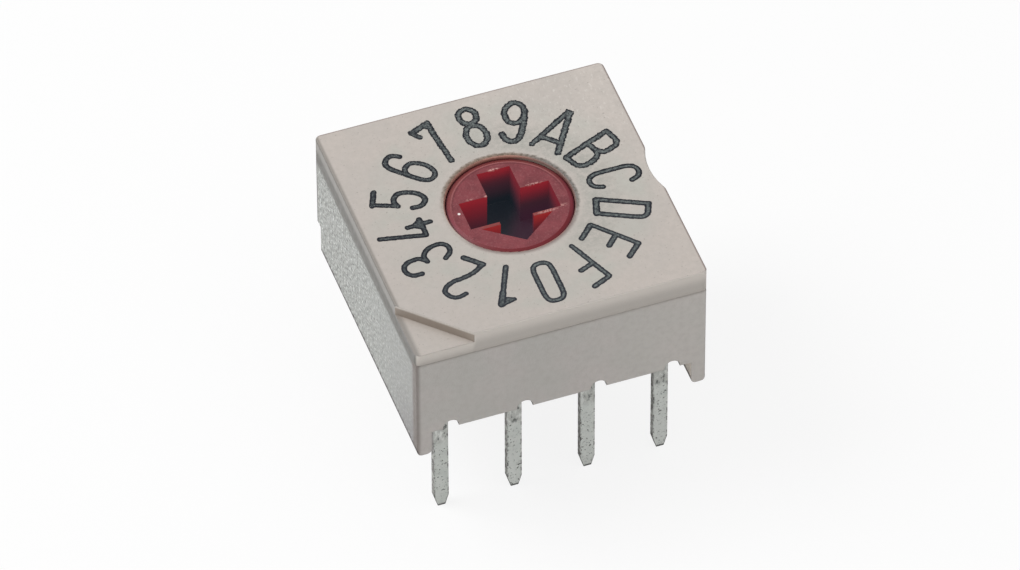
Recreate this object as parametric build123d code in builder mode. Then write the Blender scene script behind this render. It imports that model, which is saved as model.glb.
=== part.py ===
from build123d import *
import os
from math import cos, radians, sin, tan

# Rotary code switch with sixteen positions, for a printed circuit board with a 2.54 mm grid.
# Millimetres. The origin is the middle of the body on the board, which the side rails stand on.
# +Z is up, the front row of pins is at -Y, and the arrow on the rotor points at -Y, to position 0.

# Housing
pin_margin = 0.415
wall = 0.5
ledge = 0.15
standoff = 1.0
corner_radius = 0.08
rail_round = 0.18
rail_end_cut = 0.38
rail_end_cut_height = 1.25
pin_notch_width = 0.54
pin_notch_height = 0.32
joint_bevel = 0.05

# Cover
cover_overhang = 0.025
cover_thickness = 0.87
cover_corner_radius = 0.2
cover_edge_round = 0.05
bore_radius = 2.12
bore_edge_round = 0.05
corner_step_leg = 2.0
corner_step_depth = 0.4
side_notch_chord = 1.9
side_notch_depth = 0.2
side_notch_place = -0.08
side_notch_blend = 0.5
lip_height = 0.35
lip_width = 0.4

# Floor: base plate, pivot and sealing
resin_recess = 0.05
resin_depth = 0.15
base_thickness = 0.85
boss_radius = 0.8
pivot_radius = 0.5
pivot_height = 0.75
pivot_bevel = 0.1

# Rotor
contact_room = 0.55
detent_room = 0.725
flange_height = 0.85
hub_height = 0.85
hub_shoulder = 0.3
rotor_sink = 0.07
rim_bevel_width = 0.16
rim_bevel_drop = 0.06
cross_arm_width = 1.14
cross_reach = 1.64
side_arm_width = 1.2
side_arm_reach = 1.55
cross_depth = 1.6
arrow_back = 0.72
arrow_half_width = 1.22
arrow_depth = 0.9

# Detent
positions = 16
scallop_radius = 0.35
scallop_depth = 0.1
spring_thickness = 0.12
spring_height = 1.2
spring_arm_reach = 2.6
spring_corner_radius = 0.5
spring_ramp = 34
spring_bump_radius = 0.25
spring_blend_radius = 0.4
spring_arm_room = 0.12

# Code plate and its tracks, from the middle outwards
plate_thickness = 0.15
plate_inset = 0.13
plate_rim = 0.06
common_track_radius = 1.25
common_track_width = 0.4
track_spacer = 0.14

# O-ring
o_ring_section = 0.42

# Terminals: flat pins on a 2.54 mm grid, two rows three pitches apart
pin_pitch = 2.54
pin_reach = 3.9
pin_width = 0.5
pin_thickness = 0.25
pin_tip_width = 0.26
pin_tip_length = 0.44
pin_bend_radius = 0.3
tab_depth = 1.0

# Leaf contacts
leaf_width = 0.34
leaf_thickness = 0.07
leaf_foot = 0.42
leaf_curl = 0.16
leaf_bend_radius = 0.15

# Clearances
neck_clearance = 0.02
pivot_clearance = 0.03
end_play = 0.03
seat_clearance = 0.02
o_ring_clearance = 0.02
detent_clearance = 0.03
contact_clearance = 0.02

# Code bits of the front terminals from left to right, the track that each one reads, counted outwards
# from the common track, and the bearing in degrees at which its leaf meets that track
bits = [1, 2, 4, 8]
track_numbers = [4, 2, 1, 3]
bearings = [-49, -25, 33, 63]
common_bearing = -19

# The body is as wide as the outer pins need, and the rotor as wide as the detent leaves room for
row_length = (len(bits) - 1) * pin_pitch
opening_half = row_length / 2 + pin_width / 2 + pin_margin
cavity_half = opening_half - ledge
body_half = opening_half + wall
cover_half = body_half + cover_overhang
flange_radius = cavity_half - detent_room
scallop_centre = flange_radius - scallop_depth + scallop_radius
plate_radius = flange_radius - scallop_depth - plate_inset
track_room = plate_radius - plate_rim - common_track_radius + track_spacer / 2
track_pitch = track_room / (len(track_numbers) + 0.5)
window_width = track_pitch - track_spacer
neck_radius = bore_radius - neck_clearance
o_ring_groove_radius = neck_radius + o_ring_section + 2 * o_ring_clearance
hub_radius = o_ring_groove_radius + hub_shoulder
position_angle = 360 / positions

# Levels, from the board upwards
resin_bottom = standoff + resin_recess
base_bottom = resin_bottom + resin_depth
base_top = base_bottom + base_thickness
rotor_bottom = base_top + contact_room
flange_top = rotor_bottom + flange_height
hub_top = flange_top + hub_height
housing_height = hub_top + end_play
cover_top = housing_height + cover_thickness
rotor_top = cover_top - rotor_sink
o_ring_groove_depth = o_ring_section + 2 * o_ring_clearance


def meeting_point(track, bearing):
    """Where a leaf contact meets its track, at a bearing in degrees from -Y. Track 0 is the common one."""
    radius = common_track_radius + track * track_pitch
    return radius * sin(radians(bearing)), -radius * cos(radians(bearing))


def make_terminal(pin_x, leaf_x):
    """Front-row terminal: a stamped pin, bent at the top into a flat tab under its leaf contact."""
    outer_face = -row_length / 2 - pin_thickness / 2
    left = min(pin_x - pin_width / 2, leaf_x - leaf_width)
    right = max(pin_x + pin_width / 2, leaf_x + leaf_width)
    with BuildPart() as made:
        with BuildSketch(Plane.YZ.offset(pin_x)):
            with BuildLine():
                Polyline(
                    (outer_face, -pin_reach),
                    (outer_face, base_top),
                    (outer_face + tab_depth, base_top),
                    (outer_face + tab_depth, base_top - pin_thickness),
                    (outer_face + pin_thickness, base_top - pin_thickness),
                    (outer_face + pin_thickness, -pin_reach),
                    close=True,
                )
            make_face()
        extrude(amount=pin_width / 2, both=True)
        bend = made.edges().filter_by(Axis.X).filter_by_position(Axis.Z, base_top, base_top)
        fillet(bend.sort_by(Axis.Y)[0], radius=pin_bend_radius)
        with BuildSketch(Plane.XZ.offset(-outer_face)):
            for side in (-1, 1):
                with BuildLine():
                    Polyline(
                        (pin_x + side * pin_tip_width / 2, -pin_reach),
                        (pin_x + side * pin_width / 2, -pin_reach + pin_tip_length),
                        (pin_x + side * pin_width / 2, -pin_reach),
                        close=True,
                    )
                make_face()
        extrude(amount=-pin_thickness, mode=Mode.SUBTRACT)
        with BuildSketch(Plane.XY.offset(base_top)):
            with BuildLine():
                Polyline(
                    (left, outer_face + pin_bend_radius),
                    (right, outer_face + pin_bend_radius),
                    (right, outer_face + tab_depth),
                    (left, outer_face + tab_depth),
                    close=True,
                )
            make_face()
        extrude(amount=-pin_thickness)
    return made


def make_leaf(leaf_x, touch):
    """Front leaf contact: foot on the tab, a ramp up to its track and a curl back down."""
    foot_end = -row_length / 2 - pin_thickness / 2 + tab_depth - seat_clearance
    foot_level = base_top + leaf_thickness / 2
    touch_level = rotor_bottom - contact_clearance - leaf_thickness / 2
    with BuildPart() as made:
        with BuildSketch(Plane.YZ.offset(leaf_x)):
            with BuildLine() as spine:
                FilletPolyline(
                    (foot_end - leaf_foot, foot_level),
                    (foot_end, foot_level),
                    (touch, touch_level),
                    (touch + leaf_curl, touch_level - leaf_curl),
                    radius=leaf_bend_radius,
                )
            trace(spine.line, leaf_thickness)
        extrude(amount=leaf_width / 2, both=True)
    return made


# Housing: a square frame, silhouetted from the front with its rails and standoff. The rails stop
# short of the rear face, and the pins have a notch each in the foot of the front and rear walls.
with BuildPart() as housing:
    with BuildSketch():
        RectangleRounded(2 * body_half, 2 * body_half, corner_radius)
    extrude(amount=housing_height)
    with BuildSketch(Plane.XZ):
        with BuildLine():
            Line((0, standoff), (opening_half, standoff))
            Line((opening_half, standoff), (opening_half, rail_round))
            RadiusArc((opening_half, rail_round), (opening_half + rail_round, 0), -rail_round)
            Line((opening_half + rail_round, 0), (body_half - rail_round, 0))
            RadiusArc((body_half - rail_round, 0), (body_half, rail_round), -rail_round)
            Line((body_half, rail_round), (body_half, housing_height))
            Line((body_half, housing_height), (0, housing_height))
            mirror(about=Plane.YZ)
        make_face()
    extrude(amount=body_half, both=True, mode=Mode.INTERSECT)
    chamfer(housing.faces().sort_by(Axis.Z)[-1].edges(), length=joint_bevel)
    with BuildSketch():
        Rectangle(2 * opening_half, 2 * opening_half)
    extrude(amount=base_top, mode=Mode.SUBTRACT)
    with BuildSketch(Plane.XY.offset(base_top)):
        Rectangle(2 * cavity_half, 2 * cavity_half)
    extrude(amount=housing_height - base_top, mode=Mode.SUBTRACT)
    with BuildSketch():
        with Locations((0, body_half - rail_end_cut / 2)):
            with GridLocations(2 * opening_half + wall, 1, 2, 1):
                Rectangle(wall, rail_end_cut)
    extrude(amount=rail_end_cut_height, mode=Mode.SUBTRACT)
    with BuildSketch(Plane.XZ):
        with Locations((0, standoff + pin_notch_height - pin_notch_width / 2)):
            with GridLocations(pin_pitch, 1, len(bits), 1):
                Circle(pin_notch_width / 2)
    extrude(amount=body_half, both=True, mode=Mode.SUBTRACT)
housing.part.label = "housing"

# Cover: the top plate with its bore, corner step and side notch, and a lip that fits the housing
with BuildPart() as cover:
    notch_radius = (side_notch_chord**2 / 4 + side_notch_depth**2) / (2 * side_notch_depth)
    with BuildSketch(Plane.XY.offset(housing_height)) as plate_outline:
        RectangleRounded(2 * cover_half, 2 * cover_half, cover_corner_radius)
        with Locations((cover_half - side_notch_depth + notch_radius, side_notch_place)):
            Circle(notch_radius, mode=Mode.SUBTRACT)
        notch_middle = (cover_half, side_notch_place, housing_height)
        notch_ends = plate_outline.vertices().sort_by_distance(notch_middle)[:2]
        fillet(notch_ends, radius=side_notch_blend)
    extrude(amount=cover_thickness)
    fillet(cover.faces().sort_by(Axis.Z)[-1].edges(), radius=cover_edge_round)
    with BuildSketch(Plane.XY.offset(cover_top)):
        with BuildLine():
            Polyline(
                (-cover_half, -cover_half),
                (-cover_half + corner_step_leg, -cover_half),
                (-cover_half, -cover_half + corner_step_leg),
                close=True,
            )
        make_face()
    extrude(amount=-corner_step_depth, mode=Mode.SUBTRACT)
    lip_half = cavity_half - seat_clearance
    with BuildSketch(Plane.XY.offset(housing_height)):
        Rectangle(2 * lip_half, 2 * lip_half)
        Rectangle(2 * (lip_half - lip_width), 2 * (lip_half - lip_width), mode=Mode.SUBTRACT)
    extrude(amount=-lip_height)
    with Locations(Location((0, 0, housing_height), (180, 0, 0))):
        CounterBoreHole(bore_radius, o_ring_groove_radius, o_ring_groove_depth)
    top_edges = cover.edges().filter_by_position(Axis.Z, cover_top, cover_top)
    fillet(top_edges.sort_by_distance((0, 0, cover_top))[0], radius=bore_edge_round)
cover.part.label = "cover"

# O-ring round the rotor's neck, under the cover
with BuildPart() as o_ring:
    o_ring_middle = neck_radius + o_ring_clearance + o_ring_section / 2
    with BuildSketch(Plane.XZ):
        with Locations((o_ring_middle, housing_height + o_ring_groove_depth / 2)):
            Circle(o_ring_section / 2)
    revolve(axis=Axis.Z)
o_ring.part.label = "o_ring"

# Code plate: a stamped disc, flush in the rotor's underside. A track has metal where its bit is set,
# and a window where it isn't. At position k the rotor has turned k steps clockwise, seen from above.
with BuildPart() as code_plate:
    with BuildSketch(Plane.XY.offset(rotor_bottom)):
        Circle(plate_radius)
        Circle(common_track_radius - common_track_width / 2, mode=Mode.SUBTRACT)
        for bit, track, bearing in zip(bits, track_numbers, bearings):
            middle = common_track_radius + track * track_pitch
            inner = middle - window_width / 2
            outer = middle + window_width / 2
            run = bit * position_angle
            for first in range(0, positions, 2 * bit):
                start = bearing - 90 + (first - 0.5) * position_angle
                with BuildLine():
                    far = CenterArc((0, 0), outer, start, run)
                    near = CenterArc((0, 0), inner, start, run)
                    Line(far @ 0, near @ 0)
                    Line(far @ 1, near @ 1)
                make_face(mode=Mode.SUBTRACT)
    extrude(amount=plate_thickness)
code_plate.part.label = "code_plate"

# Rotor: neck and dial above, hub under the cover, and the scalloped detent flange
with BuildPart() as rotor:
    with BuildSketch(Plane.XZ):
        with BuildLine():
            Polyline(
                (0, rotor_bottom),
                (flange_radius, rotor_bottom),
                (flange_radius, flange_top),
                (hub_radius, flange_top),
                (hub_radius, hub_top),
                (neck_radius, hub_top),
                (neck_radius, rotor_top - rim_bevel_drop),
                (neck_radius - rim_bevel_width, rotor_top),
                (0, rotor_top),
                close=True,
            )
        make_face()
    revolve(axis=Axis.Z)
    with BuildSketch(Plane.XY.offset(rotor_bottom)):
        with PolarLocations(scallop_centre, positions):
            Circle(scallop_radius)
    extrude(amount=flange_height, mode=Mode.SUBTRACT)
    # Cross for a flat or crosshead driver, whose front arm runs into the arrow's point
    with BuildSketch(Plane.XY.offset(rotor_top)):
        Rectangle(2 * side_arm_reach, side_arm_width)
        with BuildLine():
            half = cross_arm_width / 2
            shoulder = cross_reach - half * (cross_reach - arrow_back) / arrow_half_width
            Polyline(
                (-half, cross_reach),
                (half, cross_reach),
                (half, -shoulder),
                (0, -cross_reach),
                (-half, -shoulder),
                close=True,
            )
        make_face()
    extrude(amount=-cross_depth, mode=Mode.SUBTRACT)
    # Barbs of the arrow, with a thin web left between them and the arms of the cross
    with BuildSketch(Plane.XY.offset(rotor_top)):
        with BuildLine():
            Polyline(
                (-arrow_half_width, -arrow_back),
                (0, -cross_reach),
                (arrow_half_width, -arrow_back),
                close=True,
            )
        make_face()
    extrude(amount=-arrow_depth, mode=Mode.SUBTRACT)
    with Locations(Location((0, 0, rotor_bottom), (180, 0, 0))):
        Hole(pivot_radius + pivot_clearance, depth=pivot_height + 2 * end_play)
    add(code_plate.part, mode=Mode.SUBTRACT)
rotor.part.label = "rotor"

# Terminals and leaf contacts, in the front row and, turned about, the common one at the rear
terminals = {}
leaves = {}
for index, bit in enumerate(bits):
    pin_x = index * pin_pitch - row_length / 2
    leaf_x, touch = meeting_point(track_numbers[index], bearings[index])
    terminals[str(bit)] = make_terminal(pin_x, leaf_x).part
    leaves[str(bit)] = make_leaf(leaf_x, touch).part
about = Rotation(0, 0, 180)
leaf_x, touch = meeting_point(0, common_bearing)
terminals["common"] = about * make_terminal(-pin_pitch / 2, leaf_x).part
leaves["common"] = about * make_leaf(leaf_x, touch).part

# Base plate, moulded round the terminals, with the pivot that the rotor turns on
with BuildPart() as base_plate:
    base_half = opening_half - seat_clearance
    with BuildSketch(Plane.XY.offset(base_bottom)):
        Rectangle(2 * base_half, 2 * base_half)
    extrude(amount=base_thickness)
    with BuildSketch(Plane.XY.offset(base_top)):
        Circle(boss_radius)
    extrude(amount=contact_room - end_play)
    with BuildSketch(Plane.XY.offset(rotor_bottom - end_play)):
        Circle(pivot_radius)
    extrude(amount=pivot_height)
    chamfer(base_plate.edges().sort_by(Axis.Z)[-1], length=pivot_bevel)
    for terminal in terminals.values():
        add(terminal, mode=Mode.SUBTRACT)
base_plate.part.label = "base_plate"

# Sealing resin, poured against the base plate and round the pins
with BuildPart() as sealing_resin:
    with BuildSketch(Plane.XY.offset(resin_bottom)):
        Rectangle(2 * opening_half, 2 * opening_half)
    extrude(amount=resin_depth)
    for terminal in terminals.values():
        add(terminal, mode=Mode.SUBTRACT)
sealing_resin.part.label = "sealing_resin"

# Detent spring: a strip on edge, bent into a U, with a bump in the middle of each arm
with BuildPart() as detent_spring:
    arm = cavity_half - spring_arm_room - spring_thickness / 2
    back = cavity_half - seat_clearance - spring_thickness / 2
    rounding = spring_bump_radius * (1 / cos(radians(spring_ramp)) - 1)
    crest = flange_radius - scallop_depth + detent_clearance + spring_thickness / 2 - rounding
    bump_half = (arm - crest) / tan(radians(spring_ramp))
    with BuildSketch(Plane.XY.offset(base_top)):
        with BuildLine() as strip:
            FilletPolyline(
                (arm, -spring_arm_reach),
                (arm, -bump_half),
                (crest, 0),
                (arm, bump_half),
                (arm, back),
                (-arm, back),
                (-arm, bump_half),
                (-crest, 0),
                (-arm, -bump_half),
                (-arm, -spring_arm_reach),
                radius=[
                    spring_blend_radius,
                    spring_bump_radius,
                    spring_blend_radius,
                    spring_corner_radius,
                    spring_corner_radius,
                    spring_blend_radius,
                    spring_bump_radius,
                    spring_blend_radius,
                ],
            )
        trace(strip.line, spring_thickness)
    extrude(amount=spring_height)
detent_spring.part.label = "detent_spring"

os.makedirs("parts", exist_ok=True)
export_step(housing.part, "parts/housing.step")
export_step(cover.part, "parts/cover.step")
export_step(o_ring.part, "parts/o_ring.step")
export_step(code_plate.part, "parts/code_plate.step")
export_step(rotor.part, "parts/rotor.step")
export_step(base_plate.part, "parts/base_plate.step")
export_step(sealing_resin.part, "parts/sealing_resin.step")
export_step(detent_spring.part, "parts/detent_spring.step")
for name, terminal in terminals.items():
    terminal.label = "terminal_" + name
    export_step(terminal, "parts/terminal_" + name + ".step")
for name, leaf in leaves.items():
    leaf.label = "contact_" + name
    export_step(leaf, "parts/contact_" + name + ".step")
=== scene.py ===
import math

import bpy
import numpy as np
from mathutils import Matrix, Vector, noise


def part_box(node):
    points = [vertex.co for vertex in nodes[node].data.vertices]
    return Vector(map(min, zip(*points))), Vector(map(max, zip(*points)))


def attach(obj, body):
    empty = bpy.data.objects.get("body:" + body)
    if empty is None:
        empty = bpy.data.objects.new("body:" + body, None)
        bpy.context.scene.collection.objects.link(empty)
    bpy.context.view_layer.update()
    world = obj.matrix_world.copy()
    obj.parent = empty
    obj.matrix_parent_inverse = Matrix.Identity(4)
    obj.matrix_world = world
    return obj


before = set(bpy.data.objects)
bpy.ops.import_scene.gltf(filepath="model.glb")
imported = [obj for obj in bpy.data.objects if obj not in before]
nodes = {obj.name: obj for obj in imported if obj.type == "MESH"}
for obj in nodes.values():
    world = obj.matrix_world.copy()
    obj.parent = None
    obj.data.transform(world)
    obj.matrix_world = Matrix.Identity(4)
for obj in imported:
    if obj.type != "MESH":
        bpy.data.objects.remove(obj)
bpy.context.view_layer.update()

FLOOR_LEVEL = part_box("terminal_1")[0].z
scene = bpy.context.scene
scene.view_settings.view_transform = "Standard"

# Sizes of the object in millimetres, that the finishes and the print go by
MM = 0.001
COVER_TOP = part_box("cover")[1].z / MM
COVER_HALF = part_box("cover")[1].x / MM
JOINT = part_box("housing")[1].z / MM
ROTOR_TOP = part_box("rotor")[1].z / MM
PIN_END = FLOOR_LEVEL / MM
BORE_RADIUS = 2.12
STEP_LEG = 2.0
PIN_PITCH = 2.54
POSITIONS = 16


def srgb(red, green, blue):
    """A colour read as 0 to 255 values, as the linear colour that a shader takes."""
    linear = []
    for value in (red, green, blue):
        share = value / 255
        linear.append(share / 12.92 if share <= 0.04045 else ((share + 0.055) / 1.055) ** 2.4)
    return (*linear, 1.0)


# Materials


class Finish:
    """One procedural material: its shader, and short calls that add nodes in front of it."""

    def __init__(self, name, roughness, metallic=0.0, specular=0.5):
        self.material = bpy.data.materials.new(name)
        self.material.use_nodes = True
        self.tree = self.material.node_tree
        self.shader = self.tree.nodes["Principled BSDF"]
        self.shader.inputs["Roughness"].default_value = roughness
        self.shader.inputs["Metallic"].default_value = metallic
        self.shader.inputs["Specular IOR Level"].default_value = specular
        coordinates = self.add("ShaderNodeTexCoord")
        scale = self.add("ShaderNodeVectorMath", operation="SCALE")
        scale.inputs["Scale"].default_value = 1 / MM
        self.join(coordinates.outputs["Object"], scale.inputs[0])
        self.place = scale.outputs[0]
        apart = self.add("ShaderNodeSeparateXYZ")
        self.join(self.place, apart.inputs[0])
        self.x, self.y, self.z = apart.outputs
        facing = self.add("ShaderNodeSeparateXYZ")
        self.join(coordinates.outputs["Normal"], facing.inputs[0])
        self.nx, self.ny, self.nz = facing.outputs

    def add(self, kind, **settings):
        node = self.tree.nodes.new(kind)
        for key, value in settings.items():
            setattr(node, key, value)
        return node

    def join(self, source, target):
        self.tree.links.new(source, target)

    def put(self, value, target):
        """Links an output to a socket, or writes a plain number or colour on it."""
        if isinstance(value, (int, float, tuple)):
            target.default_value = value
        else:
            self.join(value, target)

    def math(self, operation, first, second=0.0):
        node = self.add("ShaderNodeMath", operation=operation)
        self.put(first, node.inputs[0])
        self.put(second, node.inputs[1])
        return node.outputs[0]

    def times(self, first, *others):
        """The product of two or more values."""
        product = first
        for other in others:
            product = self.math("MULTIPLY", product, other)
        return product

    def ramp(self, value, low, high, to_low=0.0, to_high=1.0):
        """A value between low and high, eased to another span."""
        node = self.add("ShaderNodeMapRange", interpolation_type="SMOOTHSTEP")
        self.put(value, node.inputs["Value"])
        node.inputs["From Min"].default_value = low
        node.inputs["From Max"].default_value = high
        node.inputs["To Min"].default_value = to_low
        node.inputs["To Max"].default_value = to_high
        return node.outputs["Result"]

    def band(self, value, low, high, soft):
        """1 where a value lies from low to high, eased off over soft at both ends."""
        return self.times(self.ramp(value, low, low + soft), self.ramp(value, high, high - soft))

    def noise(self, size, detail=3.0, roughness=0.55, stretch=None):
        """Noise whose lumps are about size millimetres across."""
        source = self.place
        if stretch:
            node = self.add("ShaderNodeVectorMath", operation="MULTIPLY")
            self.join(self.place, node.inputs[0])
            node.inputs[1].default_value = stretch
            source = node.outputs[0]
        node = self.add("ShaderNodeTexNoise")
        self.join(source, node.inputs["Vector"])
        node.inputs["Scale"].default_value = 1 / size
        node.inputs["Detail"].default_value = detail
        node.inputs["Roughness"].default_value = roughness
        return node.outputs["Fac"]

    def mix(self, share, first, second):
        """The first colour where share is 0, and the second where it is 1."""
        node = self.add("ShaderNodeMix", data_type="RGBA")
        self.put(share, node.inputs[0])
        self.put(first, node.inputs[6])
        self.put(second, node.inputs[7])
        return node.outputs[2]

    def spot(self, centre, radius, soft, length=1.0):
        """1 inside a small ball about centre, and 0 outside. A length draws it out along X."""
        source = self.place
        if length != 1.0:
            squeeze = self.add("ShaderNodeVectorMath", operation="MULTIPLY")
            self.join(self.place, squeeze.inputs[0])
            squeeze.inputs[1].default_value = (1 / length, 1.0, 1.0)
            source = squeeze.outputs[0]
        node = self.add("ShaderNodeVectorMath", operation="DISTANCE")
        self.join(source, node.inputs[0])
        node.inputs[1].default_value = (centre[0] / length, centre[1], centre[2])
        return self.ramp(node.outputs["Value"], radius, radius + soft, 1.0, 0.0)

    def from_axis(self):
        """The distance from the turning axis, in millimetres."""
        squares = self.math("ADD", self.times(self.x, self.x), self.times(self.y, self.y))
        return self.math("SQRT", squares)

    def colour(self, value):
        self.join(value, self.shader.inputs["Base Color"])

    def rough(self, value, low, high):
        """Gloss that wanders with a noise, from one roughness to another."""
        self.join(self.ramp(value, 0.3, 0.7, low, high), self.shader.inputs["Roughness"])

    def bump(self, height, depth, edge=0.0):
        """Relief of depth millimetres, over edges that are softened by edge millimetres."""
        node = self.add("ShaderNodeBump")
        self.join(height, node.inputs["Height"])
        node.inputs["Distance"].default_value = depth * MM
        node.inputs["Strength"].default_value = 1.0
        if edge:
            bevel = self.add("ShaderNodeBevel", samples=4)
            bevel.inputs["Radius"].default_value = edge * MM
            self.join(bevel.outputs[0], node.inputs["Normal"])
        self.join(node.outputs[0], self.shader.inputs["Normal"])

    def wear(self, *names):
        """Puts the material on every slot of the named nodes."""
        for name in names:
            mesh = nodes[name].data
            if not mesh.materials:
                mesh.materials.append(self.material)
            for index in range(len(mesh.materials)):
                mesh.materials[index] = self.material


def plate_tone(f):
    """The cover's plastic: greener under the print, lighter to the back right, with scuffs and dust."""
    away = f.from_axis()
    across = f.math("ADD", f.x, f.y)
    ring = f.times(f.ramp(away, 2.1, 2.7), f.ramp(away, 4.3, 5.0, 1.0, 0.0))
    tint = f.times(ring, f.ramp(f.noise(0.9, 2.0), 0.35, 0.7, 0.2, 1.0))
    tone = f.mix(tint, srgb(197, 188, 181), srgb(186, 185, 177))
    tone = f.mix(f.ramp(across, 0.0, 9.0, 0.0, 0.25), tone, srgb(224, 217, 209))
    tone = f.mix(f.ramp(across, 0.0, -8.0, 0.0, 0.25), tone, srgb(176, 170, 165))
    tone = f.mix(f.ramp(f.noise(1.6, 2.0), 0.35, 0.7, 0.0, 0.5), tone, srgb(190, 184, 178))
    tone = f.mix(f.ramp(f.noise(0.16, 4.0, 0.7), 0.3, 0.75, 0.0, 0.45), tone, srgb(178, 172, 165))
    scuffed = f.times(f.ramp(f.x, -1.0, 3.5), f.ramp(f.y, 0.0, 3.5), 0.45)
    scuff = f.ramp(f.noise(0.10, 3.0, 0.6, (1.0, 0.45, 1.0)), 0.56, 0.70)
    tone = f.mix(f.times(scuff, scuffed), tone, srgb(224, 219, 212))
    dust = f.ramp(f.noise(0.07, 1.0), 0.70, 0.76, 0.0, 0.45)
    tone = f.mix(dust, tone, srgb(134, 128, 122))
    # Smudges between the figures on the right
    rightward = f.ramp(f.math("ADD", f.x, f.times(f.y, 0.25)), 0.2, 1.4)
    smudged = f.times(rightward, f.ramp(away, 2.2, 2.6), f.ramp(away, 3.9, 3.1))
    smudge = f.ramp(f.noise(0.16, 5.0, 0.75), 0.35, 0.65, 0.15, 0.75)
    return f.mix(f.times(smudge, smudged), tone, srgb(166, 165, 158))


def bore_tone(f, tone):
    """The bore's edge, with painted shade and crust at the back right and a painted shadow at the
    front, and its wall, with a painted reflection of the red rotor and painted shade lower down.
    """
    away = f.from_axis()
    rightward = f.ramp(f.x, 0.6, 1.8)
    frayed = f.math("ADD", away, f.times(f.noise(0.12, 3.0, 0.7), 0.10))
    # Painted shade along the bore's edge, strongest at the back right, with crust specks there too
    shade_and_soil = f.ramp(f.math("ADD", f.y, f.times(f.x, 0.5)), -0.9, 0.8, 0.15, 1.0)
    lip = f.times(f.ramp(frayed, BORE_RADIUS + 0.13, BORE_RADIUS + 0.24, 1.0, 0.0), shade_and_soil)
    tone = f.mix(lip, tone, f.mix(rightward, srgb(140, 122, 109), srgb(126, 122, 118)))
    crust = f.ramp(f.noise(0.13, 2.0), 0.44, 0.62, 0.0, 0.65)
    crust = f.times(crust, shade_and_soil, f.ramp(frayed, BORE_RADIUS + 0.15, BORE_RADIUS + 0.26, 1.0, 0.0))
    tone = f.mix(crust, tone, srgb(94, 84, 72))
    # Painted shadow of the gap, on the plate at the front of the bore
    gap_shadow = f.times(f.ramp(away, BORE_RADIUS + 0.22, BORE_RADIUS, 0.0, 0.9), f.ramp(f.y, -0.8, -1.6))
    tone = f.mix(gap_shadow, tone, srgb(120, 103, 101))
    # The bore's wall: a painted reflection of the red rotor, with painted shade to the right and lower
    # down
    wall = f.mix(rightward, srgb(182, 134, 120), srgb(124, 98, 92))
    wall = f.mix(f.ramp(f.z, COVER_TOP - 0.05, COVER_TOP - 0.16), wall, srgb(128, 66, 58))
    return f.mix(f.ramp(away, BORE_RADIUS + 0.06, BORE_RADIUS + 0.01), tone, wall)


def cover_side_tone(f, tone):
    """The cover's sides: painted shade on the left, a painted highlight at the top of the front,
    painted shade along the rounded edges, and painted shade at the corner step.
    """
    outer = f.ramp(f.from_axis(), 4.3, 4.6)
    upright = f.times(outer, f.ramp(f.nz, 0.2, 0.7, 1.0, 0.0))
    left = f.times(outer, f.ramp(f.nx, -0.4, -0.75))
    front = f.times(outer, f.ramp(f.ny, -0.4, -0.75))
    other = f.times(upright, f.ramp(f.math("ADD", left, front), 0.0, 0.6, 1.0, 0.0), 0.45)
    tone = f.mix(other, tone, srgb(172, 168, 160))
    # Painted shade on the left side, darkest towards its foot
    foot = f.ramp(f.z, COVER_TOP - 0.58, COVER_TOP - 0.28, 1.0, 0.0)
    tone = f.mix(left, tone, f.mix(foot, srgb(150, 147, 143), srgb(114, 112, 108)))
    # Painted shade along the rounded top left edge
    near_top = f.ramp(f.z, COVER_TOP - 0.12, COVER_TOP - 0.05)
    edge = f.times(near_top, f.ramp(f.x, 0.16 - COVER_HALF, 0.05 - COVER_HALF), 0.65)
    tone = f.mix(edge, tone, srgb(116, 112, 106))
    # Corner step: how far a place lies behind its slanting line, and its low floor
    behind = f.math("ADD", f.math("ADD", f.x, f.y), 2 * COVER_HALF - STEP_LEG)
    low = f.ramp(f.z, COVER_TOP - 0.02, COVER_TOP - 0.12)
    # Painted shade along the left edge of the corner step's floor
    margin = f.times(f.ramp(f.x, 0.26 - COVER_HALF, 0.07 - COVER_HALF), f.ramp(behind, 0.1, 0.0), low)
    tone = f.mix(f.times(margin, f.ramp(f.nz, 0.5, 0.8, 0.0, 0.8)), tone, srgb(140, 136, 131))
    # Far edges: painted shade on their rounding
    right_edge = f.ramp(f.x, COVER_HALF - 0.09, COVER_HALF - 0.03)
    rear_edge = f.ramp(f.y, COVER_HALF - 0.09, COVER_HALF - 0.03)
    edge = f.math("MAXIMUM", right_edge, rear_edge)
    edge = f.times(edge, f.ramp(f.z, COVER_TOP - 0.10, COVER_TOP - 0.04), 0.65)
    tone = f.mix(edge, tone, srgb(116, 92, 88))
    # Front face: a painted highlight towards its top, which the corner step lowers
    step_end = STEP_LEG - COVER_HALF
    height = f.math("ADD", f.z, f.ramp(f.x, step_end + 0.1, step_end - 0.1, 0.0, 0.32))
    paler = f.ramp(height, COVER_TOP - 0.62, COVER_TOP - 0.05)
    tone = f.mix(f.times(front, 0.9), tone, f.mix(paler, srgb(183, 177, 170), srgb(216, 209, 201)))
    joint = f.times(upright, f.ramp(f.z, JOINT + 0.16, JOINT + 0.03), 0.1)
    tone = f.mix(joint, tone, srgb(112, 98, 88))
    # Painted shade on the corner step's slanting wall and on its floor beside it
    slanting = f.times(f.ramp(f.nx, -0.3, -0.6), f.ramp(f.ny, -0.3, -0.6))
    facing = f.math("MAXIMUM", slanting, f.ramp(f.nz, 0.7, 0.9, 0.0, 0.4))
    return f.mix(f.times(f.ramp(behind, -0.35, 0.05), low, facing), tone, srgb(150, 138, 127))


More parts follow.
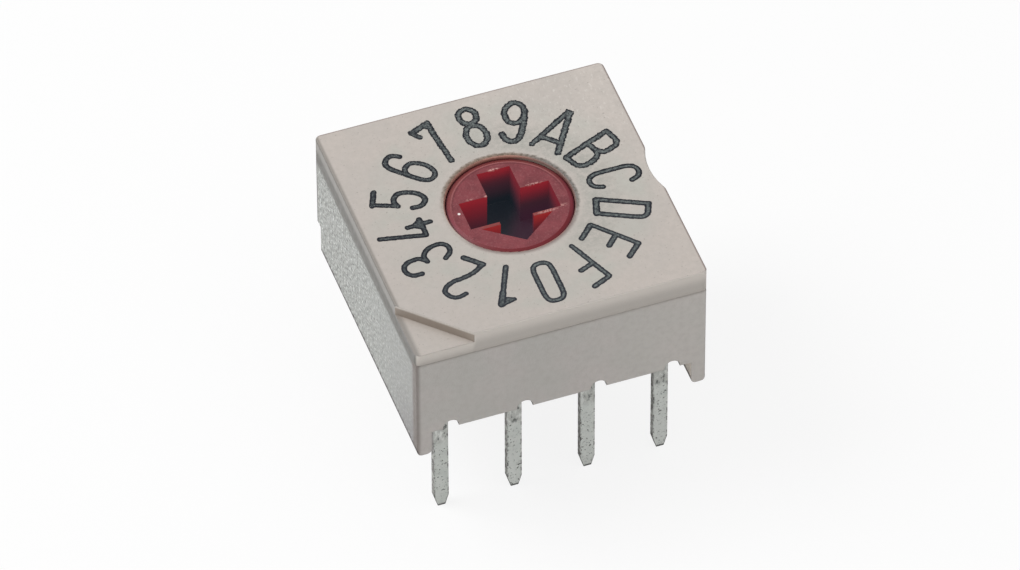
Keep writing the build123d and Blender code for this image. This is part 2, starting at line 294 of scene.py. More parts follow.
def cover_finish():
    """Pale warm grey plastic with dust and scuffs, and painted shade, highlight and reflection on its
    edges, sides and bore.
    """
    f = Finish("cover_plastic", 0.5, specular=0.35)
    f.colour(cover_side_tone(f, bore_tone(f, plate_tone(f))))
    f.rough(f.noise(0.25, 3.0), 0.44, 0.58)
    f.bump(f.noise(0.09, 4.0, 0.65), 0.004, 0.05)
    f.wear("cover")


def housing_finish():
    """The same plastic, moulded with a sparkling grain that grows towards the back of its sides."""
    f = Finish("housing_plastic", 0.55, specular=0.35)
    tone = f.mix(f.ramp(f.noise(1.8, 2.0), 0.35, 0.7), srgb(185, 182, 177), srgb(190, 184, 180))
    lateral = f.ramp(f.math("ABSOLUTE", f.nx), 0.4, 0.8)
    tone = f.mix(f.ramp(f.x, -1.0, 4.9, 0.0, 0.5), tone, srgb(202, 197, 191))
    side = f.mix(f.ramp(f.y, 0.0, -4.9), srgb(167, 169, 166), srgb(160, 161, 159))
    shaded = f.times(f.ramp(f.y, -2.0, -4.9), f.ramp(f.z, 2.6, 0.2, 0.0, 0.8))
    tone = f.mix(lateral, tone, f.mix(shaded, side, srgb(134, 131, 133)))
    grainy = f.times(lateral, f.ramp(f.y, -4.8, 2.0, 0.25, 1.0))
    grain = f.noise(0.06, 1.5, 0.7, (1.0, 0.4, 0.8))
    tone = f.mix(f.times(grainy, f.ramp(grain, 0.52, 0.66, 0.0, 0.85)), tone, srgb(92, 94, 90))
    tone = f.mix(f.times(grainy, f.ramp(grain, 0.46, 0.34, 0.0, 0.8)), tone, srgb(226, 229, 225))
    tone = f.mix(f.ramp(f.noise(0.2, 4.0), 0.35, 0.8, 0.0, 0.3), tone, srgb(168, 163, 157))
    # Dark line along the joint, and shade under it on the sides
    tone = f.mix(f.ramp(f.z, JOINT - 0.18, JOINT - 0.06, 0.0, 0.2), tone, srgb(112, 98, 88))
    under = f.times(lateral, f.ramp(f.z, JOINT - 0.42, JOINT - 0.18, 0.0, 0.85))
    tone = f.mix(under, tone, srgb(112, 110, 106))
    # Darker band on the front left edge, and painted light on the inner flank of the right rail, which
    # lies in shade under the body
    near = f.times(f.ramp(f.x, -4.80, -4.97), f.ramp(f.y, -4.46, -4.70), 0.85)
    tone = f.mix(near, tone, srgb(122, 113, 108))
    inner = f.times(f.ramp(f.x, 4.60, 4.52), f.ramp(f.x, 4.40, 4.46))
    inner = f.times(inner, f.ramp(f.nx, -0.5, -0.8), f.ramp(f.z, 1.1, 0.8))
    tone = f.mix(inner, tone, srgb(226, 217, 206))
    # Dark feet and rear edges of the sides
    ragged = f.math("ADD", f.z, f.ramp(f.noise(0.16, 2.0), 0.3, 0.7, -0.06, 0.08))
    dark = f.math("MAXIMUM", f.ramp(ragged, 0.36, 0.22), f.ramp(f.y, 4.78, 4.92))
    tone = f.mix(f.times(lateral, dark, 0.85), tone, srgb(62, 54, 56))
    f.colour(tone)
    f.rough(f.noise(0.2, 3.0), 0.46, 0.62)
    f.bump(grain, 0.006, 0.05)
    f.wear("housing")


# The rotor's recess and rim, in millimetres
ARM_HALF = 0.57
SIDE_ARM_HALF = 0.60
BARB_BACK = 0.72
RECESS_DEPTH = 1.6
RIM_RADIUS = 1.94


def recess_tone(f, depth):
    """Walls of the recess: red at the mouth, with painted shade that falls off to black below, and
    painted light on a thin web behind each barb.
    """
    # Painted shade: the walls darken with depth to black at the bottom, at a different depth on each
    # side
    red = f.mix(f.ramp(depth, 0.0, 0.5), srgb(168, 28, 36), srgb(140, 22, 36))
    plum = f.mix(f.ramp(depth, 0.3, 1.5), red, srgb(96, 24, 48))
    dark = srgb(26, 24, 32)
    back = f.mix(f.ramp(depth, 0.12, 0.60), red, dark)
    right_arm = f.mix(f.ramp(depth, 0.25, 1.0), red, dark)
    left_arm = f.mix(f.ramp(depth, 1.3, 1.6), plum, dark)
    back = f.mix(f.ramp(f.x, ARM_HALF - 0.01, ARM_HALF + 0.03), back, right_arm)
    back = f.mix(f.ramp(f.x, 0.01 - ARM_HALF, -0.03 - ARM_HALF), back, left_arm)
    facing = f.mix(f.ramp(depth, 0.3, 1.35), srgb(92, 22, 32), dark)
    wall = f.mix(f.ramp(f.nx, -0.5, -0.8), back, facing)
    wall = f.mix(f.ramp(depth, RECESS_DEPTH - 0.15, RECESS_DEPTH - 0.05), wall, srgb(20, 24, 31))
    # Painted light: the thin web behind each barb glows as if light shone through it
    web = f.times(f.ramp(f.ny, -0.6, -0.9), f.ramp(f.y, 0.04 - BARB_BACK, 0.01 - BARB_BACK))
    web = f.times(web, f.ramp(f.from_axis(), 1.75, 1.9, 1.0, 0.0))
    return f.mix(web, wall, f.mix(f.ramp(depth, 0.15, 0.85), srgb(174, 58, 34), srgb(132, 26, 20)))


def dial_face_tone(f):
    """The rotor's worn rose face, its rim with painted shade in front and painted light at the back, a
    painted highlight and the painted shade of a groove beside it, painted shade on its outer edge, and
    the tops of the thin webs.
    """
    away = f.from_axis()
    far = f.ramp(f.y, -0.4, 1.2)
    face = f.mix(f.ramp(f.noise(0.5, 3.0), 0.35, 0.7), srgb(134, 61, 68), srgb(117, 51, 58))
    face = f.mix(f.ramp(f.noise(0.06, 3.0, 0.75), 0.50, 0.72, 0.0, 0.7), face, srgb(158, 96, 98))
    face = f.mix(f.ramp(f.noise(0.09, 3.0, 0.7), 0.54, 0.72, 0.0, 0.6), face, srgb(100, 40, 48))
    thin = f.band(f.y, 0.01 - BARB_BACK, -SIDE_ARM_HALF, 0.01)
    thin = f.times(thin, f.ramp(f.math("ABSOLUTE", f.x), 1.3, 1.1, 0.0, 0.75))
    face = f.mix(thin, face, srgb(138, 58, 52))
    # Rim: painted shade towards the front, and painted light at the back
    rim = f.ramp(away, RIM_RADIUS - 0.01, RIM_RADIUS + 0.02)
    face = f.mix(rim, face, srgb(128, 42, 56))
    face = f.mix(f.times(rim, f.ramp(f.y, -0.3, -1.4)), face, srgb(112, 12, 26))
    face = f.mix(f.times(rim, far, 0.8), face, srgb(118, 58, 54))
    # A painted highlight beside the rim, and the painted shade of a groove, both at the back
    pale = f.band(away, RIM_RADIUS - 0.05, RIM_RADIUS + 0.01, 0.02)
    face = f.mix(f.times(pale, far, 0.5), face, srgb(170, 106, 104))
    groove = f.band(away, RIM_RADIUS - 0.11, RIM_RADIUS - 0.04, 0.03)
    face = f.mix(f.times(groove, far, 0.6), face, srgb(92, 34, 38))
    # Painted shade along the outer edge, by the gap
    return f.mix(f.ramp(away, RIM_RADIUS + 0.07, RIM_RADIUS + 0.15, 0.0, 0.9), face, srgb(78, 20, 36))


def glint_tone(f, tone, depth):
    """Painted highlights: glinting streaks along the recess's edges, and one painted glint near the
    rim: place, length and strength of each.
    """
    fleck = f.times(f.ramp(depth, 0.04, 0.10, 1.0, 0.0), f.ramp(f.noise(0.07, 2.0), 0.42, 0.55))
    for x, y, length, share in (
        (1.05, -0.66, 6.0, 0.45),
        (1.02, 0.61, 5.0, 0.5),
        (0.02, 1.65, 3.0, 0.8),
        (1.62, -0.58, 3.0, 0.35),
        (-0.58, 0.60, 1.5, 0.7),
        (-1.15, 0.66, 2.0, 0.3),
    ):
        streak = f.times(f.spot((x, y, ROTOR_TOP), 0.03, 0.055, length), share)
        tone = f.mix(f.times(streak, fleck), tone, srgb(226, 176, 168))
    return f.mix(f.spot((-1.69, 0.17, ROTOR_TOP), 0.03, 0.03), tone, srgb(250, 244, 240))


def seeping_light(f, depth, up):
    """Light that seeps through the plastic into the recess, and nowhere else."""
    seep = f.mix(f.ramp(depth, 0.0, 0.9), srgb(93, 28, 36), srgb(52, 29, 37))
    warm = f.ramp(f.math("SUBTRACT", f.x, f.times(f.y, 0.7)), -0.45, 0.35)
    ground = f.mix(warm, srgb(20, 26, 32), srgb(50, 26, 39))
    seep = f.mix(f.ramp(depth, 0.7, 1.5), seep, ground)
    left_arm = f.mix(f.ramp(depth, 0.0, RECESS_DEPTH), srgb(94, 28, 36), srgb(48, 28, 35))
    seep = f.mix(f.ramp(f.x, 0.01 - ARM_HALF, -0.03 - ARM_HALF), seep, left_arm)
    within = f.ramp(f.from_axis(), RIM_RADIUS - 0.04, RIM_RADIUS - 0.09)
    above = f.ramp(depth, RECESS_DEPTH + 0.15, RECESS_DEPTH + 0.05)
    inside = f.times(within, above, f.ramp(up, 0.0, 1.0, 1.0, 0.0))
    f.put(f.mix(inside, srgb(0, 0, 0), seep), f.shader.inputs["Emission Color"])
    f.shader.inputs["Emission Strength"].default_value = 1.0


def rotor_finish():
    """Red plastic: a worn face, deep red walls with painted shade falling off to black, and thin webs
    with painted light that glow.
    """
    f = Finish("rotor_plastic", 0.4, specular=0.5)
    depth = f.math("SUBTRACT", ROTOR_TOP, f.z)
    up = f.times(f.ramp(f.nz, 0.55, 0.85), f.ramp(depth, 0.1, 0.25, 1.0, 0.0))
    tone = f.mix(up, recess_tone(f, depth), dial_face_tone(f))
    f.colour(glint_tone(f, tone, depth))
    seeping_light(f, depth, up)
    f.rough(f.noise(0.3, 3.0), 0.36, 0.52)
    f.bump(f.noise(0.11, 4.0, 0.6), 0.003, 0.025)
    f.wear("rotor")


def ink_finish():
    """Slate print, darker along its edges where the pad squeezed it out, and worn at the back."""
    f = Finish("dial_ink", 0.6, specular=0.3)
    edge = f.add("ShaderNodeAttribute", attribute_name="core").outputs["Fac"]
    uneven = f.ramp(f.noise(0.10, 3.0, 0.7), 0.35, 0.65, 0.15, 1.0)
    core = f.times(f.ramp(edge, 0.52, 1.0), uneven, f.ramp(f.x, -3.2, 0.0, 0.5, 1.0))
    contour = f.mix(f.ramp(f.y, -0.5, -3.0), srgb(16, 20, 31), srgb(38, 42, 50))
    tone = f.mix(core, contour, srgb(112, 119, 118))
    worn = f.times(f.ramp(f.noise(0.045, 2.0), 0.58, 0.70), f.ramp(f.y, -1.0, 2.5, 0.15, 0.8))
    f.colour(f.mix(worn, tone, srgb(138, 142, 140)))
    f.rough(f.noise(0.1, 2.0), 0.5, 0.7)
    f.bump(f.noise(0.05, 3.0), 0.002)
    return f.material


# Half the width of a flat pin and of its tip, and the tip's length, in millimetres
PIN_HALF = 0.25
TIP_HALF = 0.13
TIP_LENGTH = 0.44


def plating_tone(f):
    """Tin plate with specks and dents, with painted shade on the pins at the left and painted light
    towards the tips of the pins on the right.
    """
    blotch = f.ramp(f.noise(0.5, 3.0), 0.35, 0.7)
    tone = f.mix(blotch, srgb(222, 225, 220), srgb(211, 215, 210))
    # Painted shade on the pins at the left, and painted light towards the tips of the pins on the right
    tone = f.mix(f.ramp(f.x, 0.0, -4.0), tone, f.mix(blotch, srgb(204, 207, 202), srgb(194, 198, 193)))
    below = f.times(f.ramp(f.z, -1.8, -3.7), f.ramp(f.x, -4.0, -1.3, 0.1, 0.8))
    tone = f.mix(below, tone, srgb(238, 241, 236))
    tone = f.mix(f.ramp(f.noise(0.09, 3.0, 0.7), 0.56, 0.70, 0.0, 0.6), tone, srgb(150, 154, 148))
    tone = f.mix(f.ramp(f.noise(0.085, 1.0), 0.67, 0.73, 0.0, 0.95), tone, srgb(46, 50, 46))
    dent = f.ramp(f.noise(0.15, 3.0, 0.65, (1.0, 1.0, 0.7)), 0.64, 0.69, 0.0, 0.75)
    return f.mix(f.times(dent, f.ramp(f.z, -1.6, -3.4, 0.4, 1.0)), tone, srgb(84, 88, 84))


def tin_finish():
    """Dull tin plate, dark in patches along the cut edges, with painted shade, highlights and shadows
    just under the body, and dark at the cut ends.
    """
    f = Finish("tinned_brass", 0.46, metallic=0.25, specular=0.5)
    tone = plating_tone(f)
    aside = f.math("PINGPONG", f.math("ADD", f.x, 1.5 * PIN_PITCH), PIN_PITCH / 2)
    # Dark ragged patches along the cut edges
    edge_patches = f.ramp(f.noise(0.16, 3.0, 0.6), 0.48, 0.60, 0.05, 0.9)
    edge_patches = f.times(edge_patches, f.ramp(aside, PIN_HALF - 0.06, PIN_HALF - 0.015))
    tone = f.mix(edge_patches, tone, srgb(74, 72, 70))
    # Painted shade just under the body, with painted highlights and shadows in streaks
    high = f.ramp(f.z, -1.0, -0.65)
    tone = f.mix(f.times(high, 0.8), tone, srgb(186, 187, 182))
    sheen_and_shadow = f.noise(0.16, 3.0, 0.6, (1.0, 1.0, 0.5))
    tone = f.mix(f.times(high, f.ramp(sheen_and_shadow, 0.52, 0.64, 0.0, 0.6)), tone, srgb(238, 240, 236))
    tone = f.mix(f.times(high, f.ramp(sheen_and_shadow, 0.47, 0.38, 0.0, 0.9)), tone, srgb(84, 88, 86))
    # Flanks, and the slanting edges and end of the tip
    flank = f.ramp(f.math("ABSOLUTE", f.nx), 0.4, 0.8)
    shadow = f.times(flank, f.ramp(f.noise(0.22, 3.0), 0.42, 0.62, 0.15, 0.95))
    tone = f.mix(shadow, tone, srgb(112, 109, 106))
    narrowing = (PIN_HALF - TIP_HALF) / TIP_LENGTH
    up_tip = f.math("SUBTRACT", f.z, PIN_END + TIP_LENGTH)
    slant = f.math("SUBTRACT", aside, f.times(up_tip, narrowing))
    tone = f.mix(f.ramp(slant, PIN_HALF - 0.035, PIN_HALF - 0.005, 0.0, 0.7), tone, srgb(74, 72, 70))
    tone = f.mix(f.ramp(f.z, PIN_END + 0.10, PIN_END + 0.04, 0.0, 0.85), tone, srgb(40, 38, 36))
    f.colour(tone)
    f.rough(f.noise(0.15, 3.0), 0.38, 0.58)
    f.bump(f.noise(0.08, 3.0, 0.65), 0.006, 0.03)
    f.wear("terminal_1", "terminal_2", "terminal_4", "terminal_8", "terminal_common")


def plain_finish(name, pale, dark, size, roughness, relief, names, metallic=0.0):
    """A finish for the inner and lower pieces: two tones, uneven gloss and a fine relief."""
    f = Finish(name, roughness, metallic)
    lumps = f.noise(size, 4.0, 0.6)
    f.colour(f.mix(f.ramp(lumps, 0.35, 0.68), pale, dark))
    f.rough(lumps, roughness - 0.08, roughness + 0.08)
    f.bump(f.noise(size * 0.3, 3.0), relief, 0.02)
    f.wear(*names)


# The printed dial: each figure is a set of strokes in its own tile, in millimetres, top outwards


def through(*points, closed=False, steps=7):
    """A smooth line through points, with the ends held."""
    p = [np.array(point, float) for point in points]
    ring = [p[-1], *p, p[0], p[1]] if closed else [2 * p[0] - p[1], *p, 2 * p[-1] - p[-2]]
    line = []
    for a, b, c, d in zip(ring, ring[1:], ring[2:], ring[3:]):
        for t in np.arange(steps) / steps:
            line.append(0.5 * (2 * b + (c - a) * t + (2 * a - 5 * b + 4 * c - d) * t ** 2
                               + (3 * b - a - 3 * c + d) * t ** 3))
    line.append(ring[-2])
    return np.array(line)


def straight(*points):
    return np.array(points, float)


def oval(x, y, half_width, half_height):
    angles = np.radians(np.linspace(0, 360, 25))
    return np.stack([x + half_width * np.cos(angles), y + half_height * np.sin(angles)], 1)


def figures():
    """Figure to its strokes, each a half width and a line, and its filled corners as outlines."""
    pen, bold = 0.085, 0.102
    return {
        "0": [
            (0.09, through(
                (-0.31, 0.05), (-0.30, 0.62), (-0.20, 0.84), (0.0, 0.90), (0.20, 0.84),
                (0.30, 0.62), (0.31, 0.05), (0.30, -0.54), (0.20, -0.75), (0.0, -0.81),
                (-0.20, -0.75), (-0.30, -0.54), closed=True,
            )),
        ],
        "1": [
            (0.09, straight((0.03, 0.45), (0.0, -0.82))),
            (0.115, straight((0.05, 0.84), (0.03, 0.35))),
            (0.07, straight((0.03, 0.86), (-0.35, 0.58))),
            [(0.0, 0.95), (-0.39, 0.62), (-0.36, 0.50), (-0.05, 0.50)],
        ],
        "2": [
            (pen, through(
                (-0.42, 0.57), (-0.27, 0.82), (-0.02, 0.90), (0.21, 0.80), (0.27, 0.58),
                (0.17, 0.28), (0.0, 0.05), (-0.22, -0.30), (-0.37, -0.77),
            )),
            (bold, straight((-0.36, -0.82), (0.32, -0.82))),
            [(-0.45, -0.92), (-0.26, -0.92), (-0.22, -0.66), (-0.38, -0.55)],
        ],
        "3": [
            (0.095, through(
                (-0.40, 0.55), (-0.27, 0.82), (-0.02, 0.90), (0.20, 0.79), (0.27, 0.55),
                (0.17, 0.22), (-0.05, 0.07),
            )),
            (0.095, through(
                (-0.12, 0.07), (0.13, 0.0), (0.27, -0.22), (0.28, -0.50), (0.17, -0.77),
                (-0.05, -0.87), (-0.28, -0.76), (-0.40, -0.47),
            )),
        ],
        "4": [
            (0.09, straight((-0.08, 0.87), (-0.40, -0.58))),
            (0.09, straight((-0.40, -0.62), (0.33, -0.62))),
            (0.09, straight((0.10, -0.15), (0.12, -0.93))),
            [
                (-0.12, -0.58), (0.02, -0.30), (0.18, -0.30), (0.36, -0.6), (0.2, -0.74),
                (-0.1, -0.72),
            ],
        ],
        "5": [
            (bold, straight((-0.33, 0.82), (0.27, 0.82))),
            (0.095, straight((-0.30, 0.82), (-0.29, 0.03))),
            (bold, through(
                (-0.31, 0.0), (-0.12, 0.13), (0.08, 0.13), (0.27, -0.02), (0.33, -0.30),
                (0.29, -0.62), (0.14, -0.83), (-0.03, -0.87), (-0.24, -0.75), (-0.35, -0.5),
            )),
        ],
        "6": [
            (0.095, through(
                (0.35, 0.52), (0.26, 0.77), (0.05, 0.85), (-0.17, 0.77), (-0.27, 0.52),
                (-0.28, 0.0), (-0.27, -0.55),
            )),
            (0.092, through(
                (-0.27, -0.10), (-0.14, 0.08), (0.04, 0.13), (0.25, 0.04), (0.36, -0.22),
                (0.37, -0.50), (0.24, -0.80), (0.03, -0.89), (-0.18, -0.80), (-0.27, -0.50),
                closed=True,
            )),
        ],
        "7": [
            (0.12, straight((-0.27, 0.85), (0.40, 0.85))),
            (bold, straight((-0.28, 0.87), (-0.20, 0.53))),
            (0.11, through((0.42, 0.87), (0.27, 0.45), (0.17, 0.12), (-0.12, -0.93))),
            [(0.10, 0.90), (0.47, 0.95), (0.44, 0.62), (0.24, 0.58)],
        ],
        "8": [
            (0.108, oval(0.0, 0.50, 0.29, 0.34)),
            (0.108, oval(0.0, -0.40, 0.33, 0.47)),
        ],
        "9": [
            (0.108, oval(-0.05, 0.42, 0.33, 0.46)),
            (0.115, through(
                (0.28, 0.42), (0.27, 0.05), (0.22, -0.48), (0.10, -0.78), (-0.08, -0.86),
                (-0.28, -0.78), (-0.41, -0.55),
            )),
        ],
        "A": [
            (0.098, straight((-0.03, 0.88), (-0.48, -0.92))),
            (0.112, straight((0.05, 0.86), (0.45, -0.92))),
            (0.105, straight((-0.36, -0.50), (0.34, -0.50))),
            [(-0.14, 0.98), (0.14, 0.98), (0.16, 0.60), (-0.10, 0.60)],
        ],
        "B": [
            (bold, straight((-0.28, 0.86), (-0.28, -0.92))),
            (bold, through(
                (-0.26, 0.86), (0.18, 0.85), (0.36, 0.72), (0.40, 0.47), (0.34, 0.18), (0.14, 0.05),
                (-0.24, 0.04),
            )),
            (bold, through(
                (0.10, 0.04), (0.32, -0.08), (0.42, -0.36), (0.38, -0.68), (0.20, -0.87),
                (-0.24, -0.90),
            )),
        ],
        "C": [
            (0.09, through(
                (0.36, 0.46), (0.24, 0.72), (0.02, 0.80), (-0.20, 0.70), (-0.29, 0.45),
                (-0.30, -0.05), (-0.29, -0.55), (-0.18, -0.80), (0.04, -0.88), (0.24, -0.78),
                (0.33, -0.54),
            )),
        ],
        "D": [
            (0.095, straight((-0.20, 0.87), (-0.30, -0.85))),
            (bold, straight((-0.20, 0.85), (0.16, 0.86))),
            (0.095, through(
                (0.14, 0.86), (0.32, 0.80), (0.40, 0.58), (0.37, -0.10), (0.32, -0.72),
            )),
            (0.11, straight((0.32, -0.80), (-0.28, -0.85))),
            [(0.10, 0.94), (0.38, 0.88), (0.44, 0.62), (0.30, 0.68)],
        ],
        "E": [
            (pen, straight((-0.17, 0.90), (-0.25, -0.84))),
            (0.095, straight((-0.15, 0.88), (0.47, 0.87))),
            (0.095, straight((-0.2, 0.07), (0.32, 0.07))),
            (0.095, straight((-0.22, -0.86), (0.42, -0.86))),
        ],
        "F": [
            (pen, straight((-0.22, 0.90), (-0.20, -0.88))),
            (0.09, straight((-0.2, 0.91), (0.44, 0.92))),
            (0.09, straight((-0.2, 0.12), (0.30, 0.12))),
            [(-0.24, 0.28), (-0.06, 0.14), (-0.06, 0.08), (-0.24, -0.06)],
        ],
    }


# Further apart than any two places in a tile
FAR = 9.0


def distance_to(line, px, py):
    """The distance of each point to an open line of straight runs."""
    best = np.full(px.shape, FAR)
    for (ax, ay), (bx, by) in zip(line, line[1:]):
        dx, dy = bx - ax, by - ay
        length = dx * dx + dy * dy
        t = np.clip(((px - ax) * dx + (py - ay) * dy) / length, 0, 1) if length > 1e-12 else 0.0
        best = np.minimum(best, np.hypot(px - ax - t * dx, py - ay - t * dy))
    return best


def inside_depth(corners, px, py):
    """How far each point lies inside a convex outline, below zero outside it."""
    corners = np.array(corners, float)
    middle = corners.mean(0)
    depth = np.full(px.shape, FAR)
    for (ax, ay), (bx, by) in zip(corners, np.roll(corners, -1, 0)):
        normal = np.array([ay - by, bx - ax]) / math.hypot(bx - ax, by - ay)
        if normal @ (middle - (ax, ay)) < 0:
            normal = -normal
        depth = np.minimum(depth, (px - ax) * normal[0] + (py - ay) * normal[1])
    return depth


# A figure's tile, the cells of its grid and the zone along an outline where the ink is uneven
TILE_HALF_WIDTH = 0.66
TILE_HALF_HEIGHT = 1.14
CELL = 0.022
CONTOUR = 0.08


def swell(index):
    """How much wider than its pen a figure is printed, to each side, in millimetres."""
    if index >= 10:
        return 0.009
    return 0.0 if index in (3, 5, 7) else 0.006


def figure_depth(index, strokes, xs, ys):
    """How deep each point of a figure's tile lies in the ink, with a frayed outline."""
    px, py = np.meshgrid(xs, ys, indexing="ij")
    depth = np.full(px.shape, -FAR)
    for stroke in strokes:
        if isinstance(stroke, tuple):
            half_width, line = stroke
            depth = np.maximum(depth, half_width + swell(index) - distance_to(line, px, py))
        else:
            depth = np.maximum(depth, inside_depth(stroke, px, py))
    # The figures at the back are the most ragged
    ragged = 2.7 if 7 <= index <= 11 else 1.3
    for i, j in np.argwhere(abs(depth) < CONTOUR):
        at = Vector((xs[i] * 9, ys[j] * 9, index * 7.3))
        depth[i, j] += ragged * (0.010 * noise.noise(at) + 0.009 * noise.noise(at * 2.6))
    return depth


def trace_figure(depth, xs, ys, place, verts, faces, core):
    """Adds a figure's inked top, cell by cell, and the low wall along its outline."""
    known = {}

    def vertex(key, x, y, value, bottom=False):
        if key not in known:
            known[key] = len(verts)
            verts.append(place(x, y, bottom))
            core.append(min(max(value / CONTOUR, 0.0), 1.0))
        return known[key]

    for i in range(len(xs) - 1):
        for j in range(len(ys) - 1):
            corners = [(i, j), (i + 1, j), (i + 1, j + 1), (i, j + 1)]
            values = [depth[c] for c in corners]
            if max(values) <= 0:
                continue
            outline, leaving, entering = [], [], []
            around = list(zip(corners, values))
            for (a, va), (b, vb) in zip(around, around[1:] + around[:1]):
                if va > 0:
                    outline.append(vertex(a, xs[a[0]], ys[a[1]], va))
                if (va > 0) != (vb > 0):
                    t = va / (va - vb)
                    key = (min(a, b), max(a, b))
                    x = xs[a[0]] + t * (xs[b[0]] - xs[a[0]])
                    y = ys[a[1]] + t * (ys[b[1]] - ys[a[1]])
                    outline.append(vertex(key, x, y, 0.0))
                    crossing = (outline[-1], vertex((*key, "low"), x, y, 0.0, True))
                    (leaving if va > 0 else entering).append(crossing)
            if len(outline) > 2:
                faces.append(outline)
            if len(leaving) == len(entering) == 1:
                faces.append([entering[0][0], leaving[0][0], leaving[0][1], entering[0][1]])


def print_dial(ring_radius=3.63, thickness=0.006, sink=0.004):
    """All the figures as one thin printed layer on the cover, with ragged edges and closed sides."""
    xs = np.arange(-TILE_HALF_WIDTH, TILE_HALF_WIDTH + 0.001, CELL)
    ys = np.arange(-TILE_HALF_HEIGHT, TILE_HALF_HEIGHT + 0.001, CELL)
    verts, faces, core = [], [], []
    for index, strokes in enumerate(figures().values()):
        angle = math.radians(-90 - 360 / POSITIONS * index)
        up = np.array([math.cos(angle), math.sin(angle)])
        right = np.array([up[1], -up[0]])

        def place(x, y, bottom):
            flat = up * (ring_radius + y) + right * x
            level = COVER_TOP - sink if bottom else COVER_TOP + thickness
            return flat[0] * MM, flat[1] * MM, level * MM

        trace_figure(figure_depth(index, strokes, xs, ys), xs, ys, place, verts, faces, core)
    mesh = bpy.data.meshes.new("dial_print")
    mesh.from_pydata(verts, [], faces)
    mesh.validate()
    mesh.attributes.new("core", "FLOAT", "POINT").data.foreach_set("value", np.array(core, np.float32))
    mesh.update()
    mesh.materials.append(ink_finish())
    dial = bpy.data.objects.new("dial_print", mesh)
    scene.collection.objects.link(dial)
    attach(dial, "body")


# Floor, light and camera


def make_floor(size=0.6, whiteness=0.86):
    """A wide pale floor under the pin tips. The camera sees it near white, and it keeps the shadow."""
    mesh = bpy.data.meshes.new("floor")
    mesh.from_pydata([(-size, -size, FLOOR_LEVEL), (size, -size, FLOOR_LEVEL),
                      (size, size, FLOOR_LEVEL), (-size, size, FLOOR_LEVEL)], [], [(0, 1, 2, 3)])
    floor = bpy.data.objects.new("floor", mesh)
    scene.collection.objects.link(floor)
    material = bpy.data.materials.new("floor")
    material.use_nodes = True
    tree = material.node_tree
    tree.nodes.clear()
    output = tree.nodes.new("ShaderNodeOutputMaterial")
    pale = tree.nodes.new("ShaderNodeBsdfDiffuse")
    pale.inputs["Color"].default_value = (0.9, 0.9, 0.9, 1)
    white = tree.nodes.new("ShaderNodeEmission")
    white.inputs["Strength"].default_value = 1.0
    blend = tree.nodes.new("ShaderNodeMixShader")
    path = tree.nodes.new("ShaderNodeLightPath")
    seen = tree.nodes.new("ShaderNodeMath")
    seen.operation = "MULTIPLY"
    seen.inputs[1].default_value = whiteness
    tree.links.new(path.outputs["Is Camera Ray"], seen.inputs[0])
    tree.links.new(seen.outputs[0], blend.inputs[0])
    tree.links.new(pale.outputs[0], blend.inputs[1])
    tree.links.new(white.outputs[0], blend.inputs[2])
    tree.links.new(blend.outputs[0], output.inputs[0])
    mesh.materials.append(material)


def make_world(ambient=0.5):
    """A plain pale surround: it lights softly, and shows white to the camera."""
    world = bpy.data.worlds.new("surround")
    scene.world = world
    world.use_nodes = True
    tree = world.node_tree
    background = tree.nodes["Background"]
    path = tree.nodes.new("ShaderNodeLightPath")
    level = tree.nodes.new("ShaderNodeMapRange")
    level.inputs["To Min"].default_value = ambient
    level.inputs["To Max"].default_value = 1.0
    tree.links.new(path.outputs["Is Camera Ray"], level.inputs["Value"])
    background.inputs["Color"].default_value = (1, 1, 1, 1)
    tree.links.new(level.outputs[0], background.inputs["Strength"])


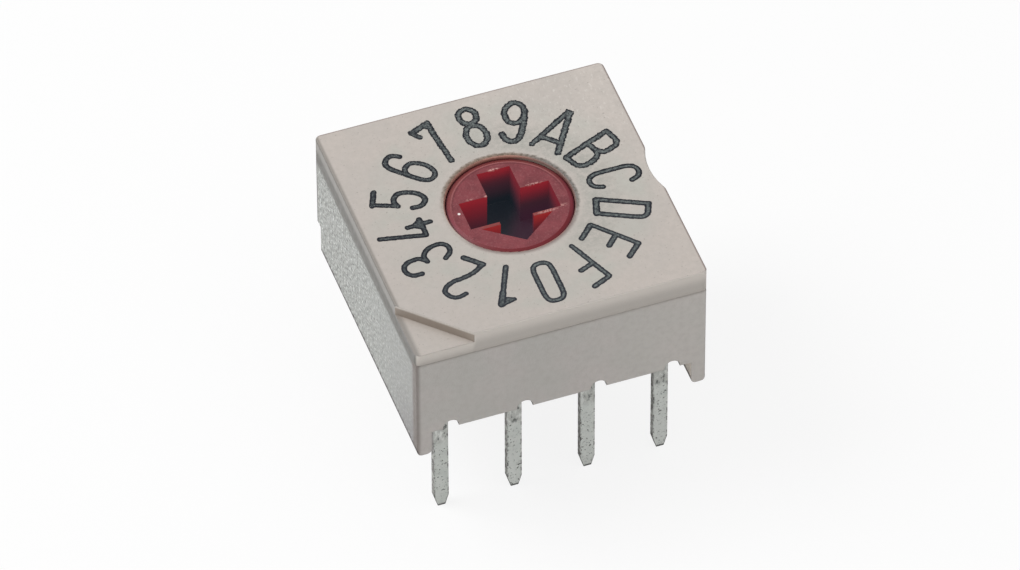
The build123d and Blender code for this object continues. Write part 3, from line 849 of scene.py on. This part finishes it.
def lamp(name, azimuth, elevation, size, power, away=0.30):
    """A soft square lamp aimed at the origin. Azimuth 0 is in front and 90 on the right."""
    a, e = math.radians(azimuth), math.radians(elevation)
    back = Vector((math.sin(a) * math.cos(e), -math.cos(a) * math.cos(e), math.sin(e)))
    light = bpy.data.lights.new(name, "AREA")
    light.shape = "SQUARE"
    light.size = size
    light.energy = power
    holder = bpy.data.objects.new(name, light)
    scene.collection.objects.link(holder)
    holder.location = back * away
    holder.rotation_mode = "QUATERNION"
    holder.rotation_quaternion = (-back).to_track_quat("-Z", "Y")


def make_camera(azimuth=-19.5636, elevation=47.2916, roll=-0.2156, distance=335.2804, lens=360.7235,
                side=0.0371, lift=0.8909, nudge=(-0.05, 0.0, 0.0)):
    """The photograph's view. Side, lift and nudge place the camera in millimetres."""
    a, e, r = math.radians(azimuth), math.radians(elevation), math.radians(roll)
    back = Vector((math.sin(a) * math.cos(e), -math.cos(a) * math.cos(e), math.sin(e)))
    level = Vector((math.cos(a), math.sin(a), 0.0))
    upward = back.cross(level)
    right = math.cos(r) * level + math.sin(r) * upward
    top = -math.sin(r) * level + math.cos(r) * upward
    place = (back * distance + side * right + lift * top + Vector(nudge)) * MM
    camera = bpy.data.objects.new("camera", bpy.data.cameras.new("camera"))
    scene.collection.objects.link(camera)
    camera.matrix_world = Matrix((
        (right.x, top.x, back.x, place.x),
        (right.y, top.y, back.y, place.y),
        (right.z, top.z, back.z, place.z),
        (0.0, 0.0, 0.0, 1.0),
    ))
    camera.data.sensor_width = 36.0
    camera.data.lens = lens
    camera.data.clip_start = 0.01
    camera.data.clip_end = 10.0
    scene.camera = camera


cover_finish()
housing_finish()
rotor_finish()
tin_finish()
plain_finish("base_plastic", srgb(176, 172, 166), srgb(164, 160, 154), 0.4, 0.55, 0.004, ["base_plate"])
plain_finish("resin", srgb(30, 28, 27), srgb(16, 15, 15), 0.6, 0.3, 0.010, ["sealing_resin"])
plain_finish("rubber", srgb(40, 40, 42), srgb(28, 28, 30), 0.1, 0.6, 0.002, ["o_ring"])
plain_finish("gold_plate", srgb(214, 172, 96), srgb(196, 152, 80), 0.2, 0.3, 0.001,
             ["code_plate", "contact_1", "contact_2", "contact_4", "contact_8", "contact_common"], 1.0)
plain_finish("spring_steel", srgb(178, 180, 184), srgb(150, 152, 156), 0.15, 0.34, 0.001,
             ["detent_spring"], 1.0)
print_dial()
make_floor()
make_world()
lamp("key_lamp", -112, 50, 0.16, 0.55)
lamp("fill_lamp", 40, 60, 0.20, 0.08)
make_camera()
